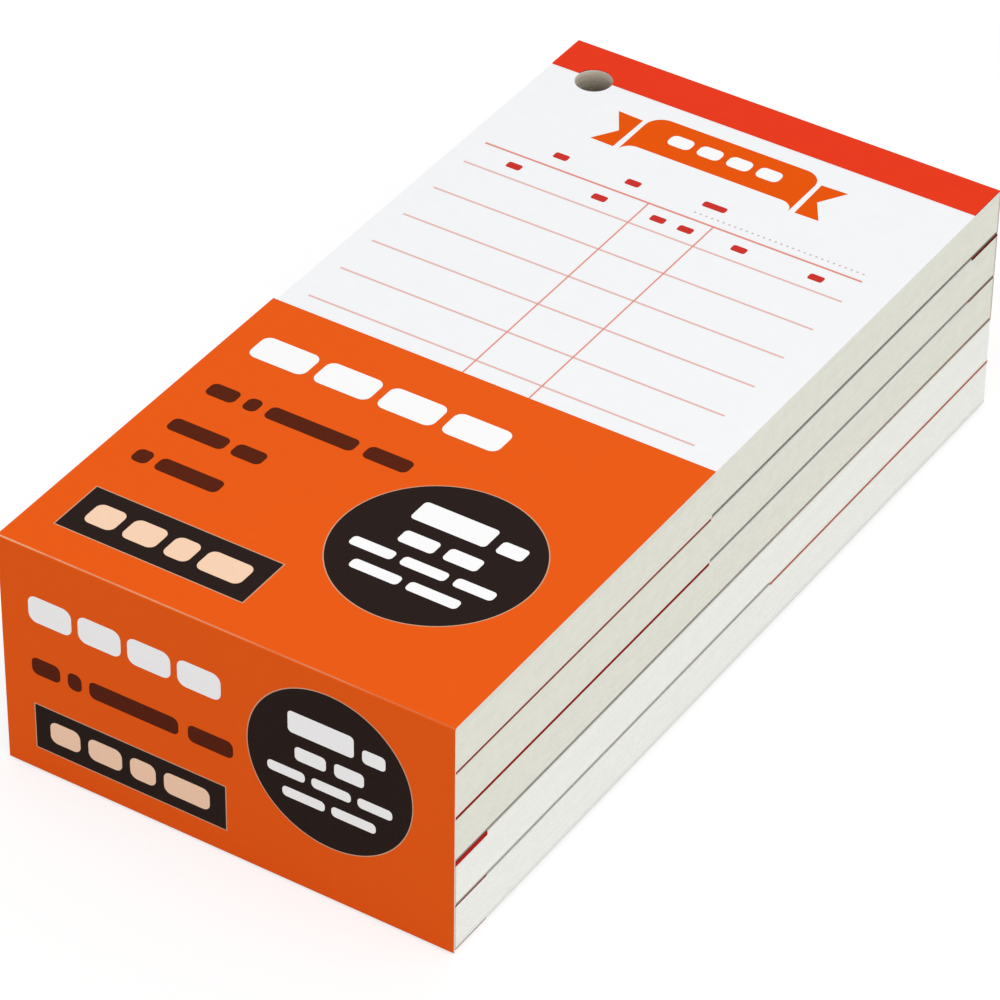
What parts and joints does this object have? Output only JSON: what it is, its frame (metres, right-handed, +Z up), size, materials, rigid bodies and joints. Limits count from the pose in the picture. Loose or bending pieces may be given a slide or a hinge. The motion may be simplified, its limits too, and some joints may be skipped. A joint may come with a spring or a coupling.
{
  "type": "guest check pad pack",
  "caption": "Stack of head-bound guest check pads with taped heads and a punched hanging hole, held at the foot end by one folded card label that slides off and opens flat.",
  "frame": {"origin": "on the surface that the pack lies on, under the middle of its box", "axes": "+Y along the pads towards the heads of the upper pads, +Z up through the stack, +X to the right of the printed face"},
  "size_m": [0.0754, 0.1508, 0.0404],
  "materials": {
    "label_card": "coated card, printed orange, satin",
    "pad_label_paper": "coated paper, printed orange, satin",
    "slip_paper": "uncoated white bond paper, matt",
    "page_edges": "guillotined edges of white bond paper, matt",
    "grey_board": "grey backing board, matt",
    "padding_glue": "dried padding glue",
    "binding_tape": "red binding tape, fine grain, satin"
  },
  "bodies": {
    "pad_5": {"pad_5_backing_board": "grey_board", "pad_5_slip_block": "page_edges", "pad_5_front_slip": "slip_paper", "pad_5_head_glue": "padding_glue", "pad_5_binding_tape": "binding_tape", "pad_5_label": "pad_label_paper"},
    "pad_4": {"pad_4_backing_board": "grey_board", "pad_4_slip_block": "page_edges", "pad_4_front_slip": "slip_paper", "pad_4_head_glue": "padding_glue", "pad_4_binding_tape": "binding_tape", "pad_4_label": "pad_label_paper"},
    "pad_3": {"pad_3_backing_board": "grey_board", "pad_3_slip_block": "page_edges", "pad_3_front_slip": "slip_paper", "pad_3_head_glue": "padding_glue", "pad_3_binding_tape": "binding_tape", "pad_3_label": "pad_label_paper"},
    "pad_2": {"pad_2_backing_board": "grey_board", "pad_2_slip_block": "page_edges", "pad_2_front_slip": "slip_paper", "pad_2_head_glue": "padding_glue", "pad_2_binding_tape": "binding_tape", "pad_2_label": "pad_label_paper"},
    "pad_1": {"pad_1_backing_board": "grey_board", "pad_1_slip_block": "page_edges", "pad_1_front_slip": "slip_paper", "pad_1_head_glue": "padding_glue", "pad_1_binding_tape": "binding_tape", "pad_1_label": "pad_label_paper"},
    "label_base": {"label_bottom_panel": "label_card"},
    "label_end": {"label_end_panel": "label_card"},
    "label_top": {"label_top_panel": "label_card"}
  },
  "joints": [
    {"name": "pad_4_slide", "type": "slide", "parent": "pad_5", "child": "pad_4", "axis": [0, 1, 0], "range_m": [0, 0.15]},
    {"name": "pad_3_slide", "type": "slide", "parent": "pad_5", "child": "pad_3", "axis": [0, 1, 0], "range_m": [0, 0.15]},
    {"name": "pad_2_slide", "type": "slide", "parent": "pad_5", "child": "pad_2", "axis": [0, 1, 0], "range_m": [0, 0.15]},
    {"name": "pad_1_slide", "type": "slide", "parent": "pad_5", "child": "pad_1", "axis": [0, 1, 0], "range_m": [0, 0.15]},
    {"name": "label_slide", "type": "slide", "parent": "pad_5", "child": "label_base", "axis": [0, -1, 0], "range_m": [0, 0.07]},
    {"name": "lower_crease", "type": "hinge", "parent": "label_base", "child": "label_end", "pos_m": [0, -0.07529, 0.00015], "axis": [1, 0, 0], "range_deg": [0, 90]},
    {"name": "upper_crease", "type": "hinge", "parent": "label_end", "child": "label_top", "pos_m": [0, -0.07529, 0.04025], "axis": [1, 0, 0], "range_deg": [0, 90]}
  ]
}
